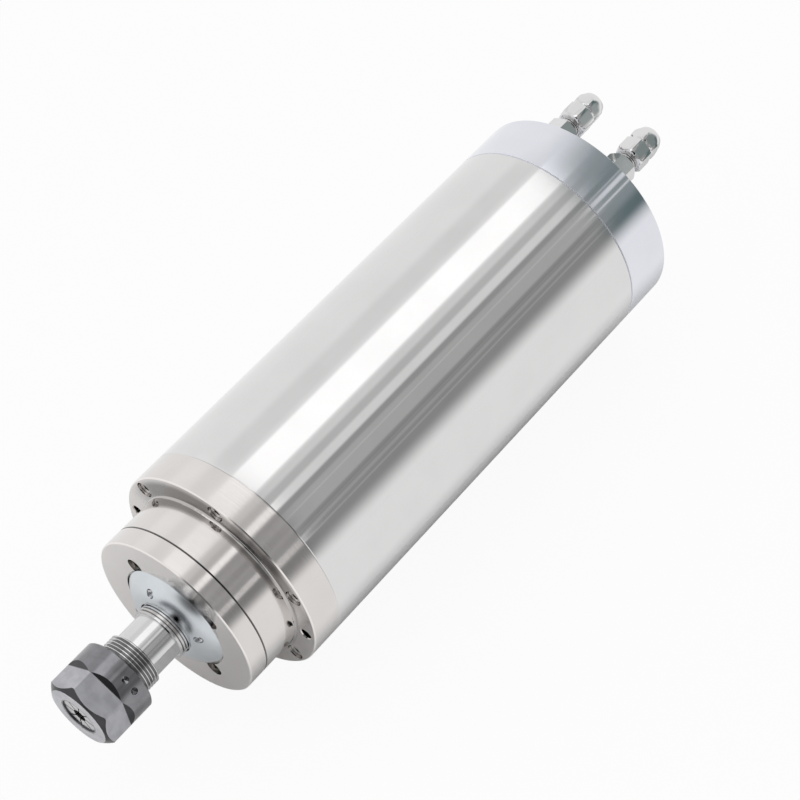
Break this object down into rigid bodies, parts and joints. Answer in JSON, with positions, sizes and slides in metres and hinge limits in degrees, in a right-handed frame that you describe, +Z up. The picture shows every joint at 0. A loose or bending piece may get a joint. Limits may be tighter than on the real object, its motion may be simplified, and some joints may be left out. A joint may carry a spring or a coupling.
{
  "type": "motor spindle",
  "caption": "Round water-cooled motor spindle with a flanged nose, collet chuck and nut, hose fittings and a rear power receptacle.",
  "frame": {"origin": "on the spindle axis, at the front face of the body's flange", "axes": "+Y along the spindle axis from the collet nut to the rear cap, +Z up with the spindle lying down and its water fittings on top, +X to the right seen from the nose"},
  "size_m": [0.1, 0.3561, 0.1],
  "materials": {
    "body_steel": "ground stainless tube, satin along the axis",
    "nose_steel": "turned stainless, faintly warm",
    "cover_aluminium": "bright turned",
    "rear_aluminium": "turned, cool grey",
    "inner_aluminium": "machined",
    "screw_steel": "stainless socket screws",
    "bright_screws": "small bright screws",
    "seal_rubber": "black O-ring",
    "laminations": "stacked electrical steel",
    "copper": "enamelled copper wire",
    "lead_insulation": "insulated leads",
    "bearing_steel": "ground bearing steel",
    "inner_steel": "turned steel",
    "spring_steel": "spring steel",
    "nickel": "bright nickel plate",
    "connector_plastic": "black insulator",
    "pin_brass": "plain brass",
    "washer_copper": "copper sealing washer",
    "shaft_steel": "ground shaft",
    "cage_phenolic": "phenolic cage",
    "collet_steel": "ground spring steel",
    "nut_steel": "dark gunmetal hardened steel with a bright front face"
  },
  "bodies": {
    "housing": {"body_tube": "body_steel", "connector_insert": "connector_plastic", "connector_pins": "pin_brass", "connector_screws": "bright_screws", "connector_shell": "nickel", "cooling_jacket": "inner_aluminium", "dust_cover": "cover_aluminium", "dust_cover_screws": "bright_screws", "flange_screws": "screw_steel", "front_cap": "nose_steel", "front_cap_screws": "screw_steel", "front_housing": "nose_steel", "front_outer_races": "bearing_steel", "front_outer_spacer": "bearing_steel", "inlet_ferrule": "pin_brass", "inlet_fitting": "nickel", "inlet_washer": "washer_copper", "jacket_seals": "seal_rubber", "motor_leads": "lead_insulation", "outlet_ferrule": "pin_brass", "outlet_fitting": "nickel", "outlet_washer": "washer_copper", "preload_spring": "spring_steel", "rear_bearing_housing": "inner_steel", "rear_cap": "rear_aluminium", "rear_cap_screws": "screw_steel", "rear_outer_races": "bearing_steel", "rear_outer_spacer": "bearing_steel", "stator_core": "laminations", "stator_windings": "copper"},
    "rotor": {"shaft": "shaft_steel", "rotor_core": "laminations", "rotor_cage": "inner_aluminium", "front_inner_races": "bearing_steel", "front_inner_spacer": "bearing_steel", "front_lock_nut": "inner_steel", "rear_inner_races": "bearing_steel", "rear_inner_spacer": "bearing_steel", "rear_lock_nut": "inner_steel"},
    "front_ball_sets": {"front_balls": "bearing_steel", "front_cages": "cage_phenolic"},
    "rear_ball_sets": {"rear_balls": "bearing_steel", "rear_cages": "cage_phenolic"},
    "collet": {"collet": "collet_steel"},
    "collet_nut": {"collet_nut": "nut_steel"},
    "inlet_hose_nut": {"inlet_hose_nut": "nickel"},
    "outlet_hose_nut": {"outlet_hose_nut": "nickel"}
  },
  "joints": [
    {"name": "shaft_spin", "type": "hinge", "parent": "housing", "child": "rotor", "pos_m": [0, 0, 0], "axis": [0, 1, 0], "continuous": true},
    {"name": "front_cage_spin", "type": "hinge", "parent": "housing", "child": "front_ball_sets", "pos_m": [0, 0, 0], "axis": [0, 1, 0], "continuous": true},
    {"name": "rear_cage_spin", "type": "hinge", "parent": "housing", "child": "rear_ball_sets", "pos_m": [0, 0, 0], "axis": [0, 1, 0], "continuous": true},
    {"name": "collet_slide", "type": "slide", "parent": "rotor", "child": "collet", "axis": [0, -1, 0], "range_m": [0, 0.003]},
    {"name": "collet_nut_turn", "type": "hinge", "parent": "collet", "child": "collet_nut", "pos_m": [0, 0, 0], "axis": [0, -1, 0], "range_deg": [0, 720]},
    {"name": "inlet_nut_turn", "type": "hinge", "parent": "housing", "child": "inlet_hose_nut", "pos_m": [-0.01561, 0.26, 0.0341], "axis": [0, 1, 0], "range_deg": [0, 360]},
    {"name": "outlet_nut_turn", "type": "hinge", "parent": "housing", "child": "outlet_hose_nut", "pos_m": [0.01561, 0.26, 0.0341], "axis": [0, 1, 0], "range_deg": [0, 360]}
  ],
  "couplings": [
    {"joint": "front_cage_spin", "follows": "shaft_spin", "ratio": 0.41682},
    {"joint": "rear_cage_spin", "follows": "shaft_spin", "ratio": 0.40546},
    {"joint": "collet_nut_turn", "follows": "collet_slide", "rad_per_m": 4188.8}
  ]
}
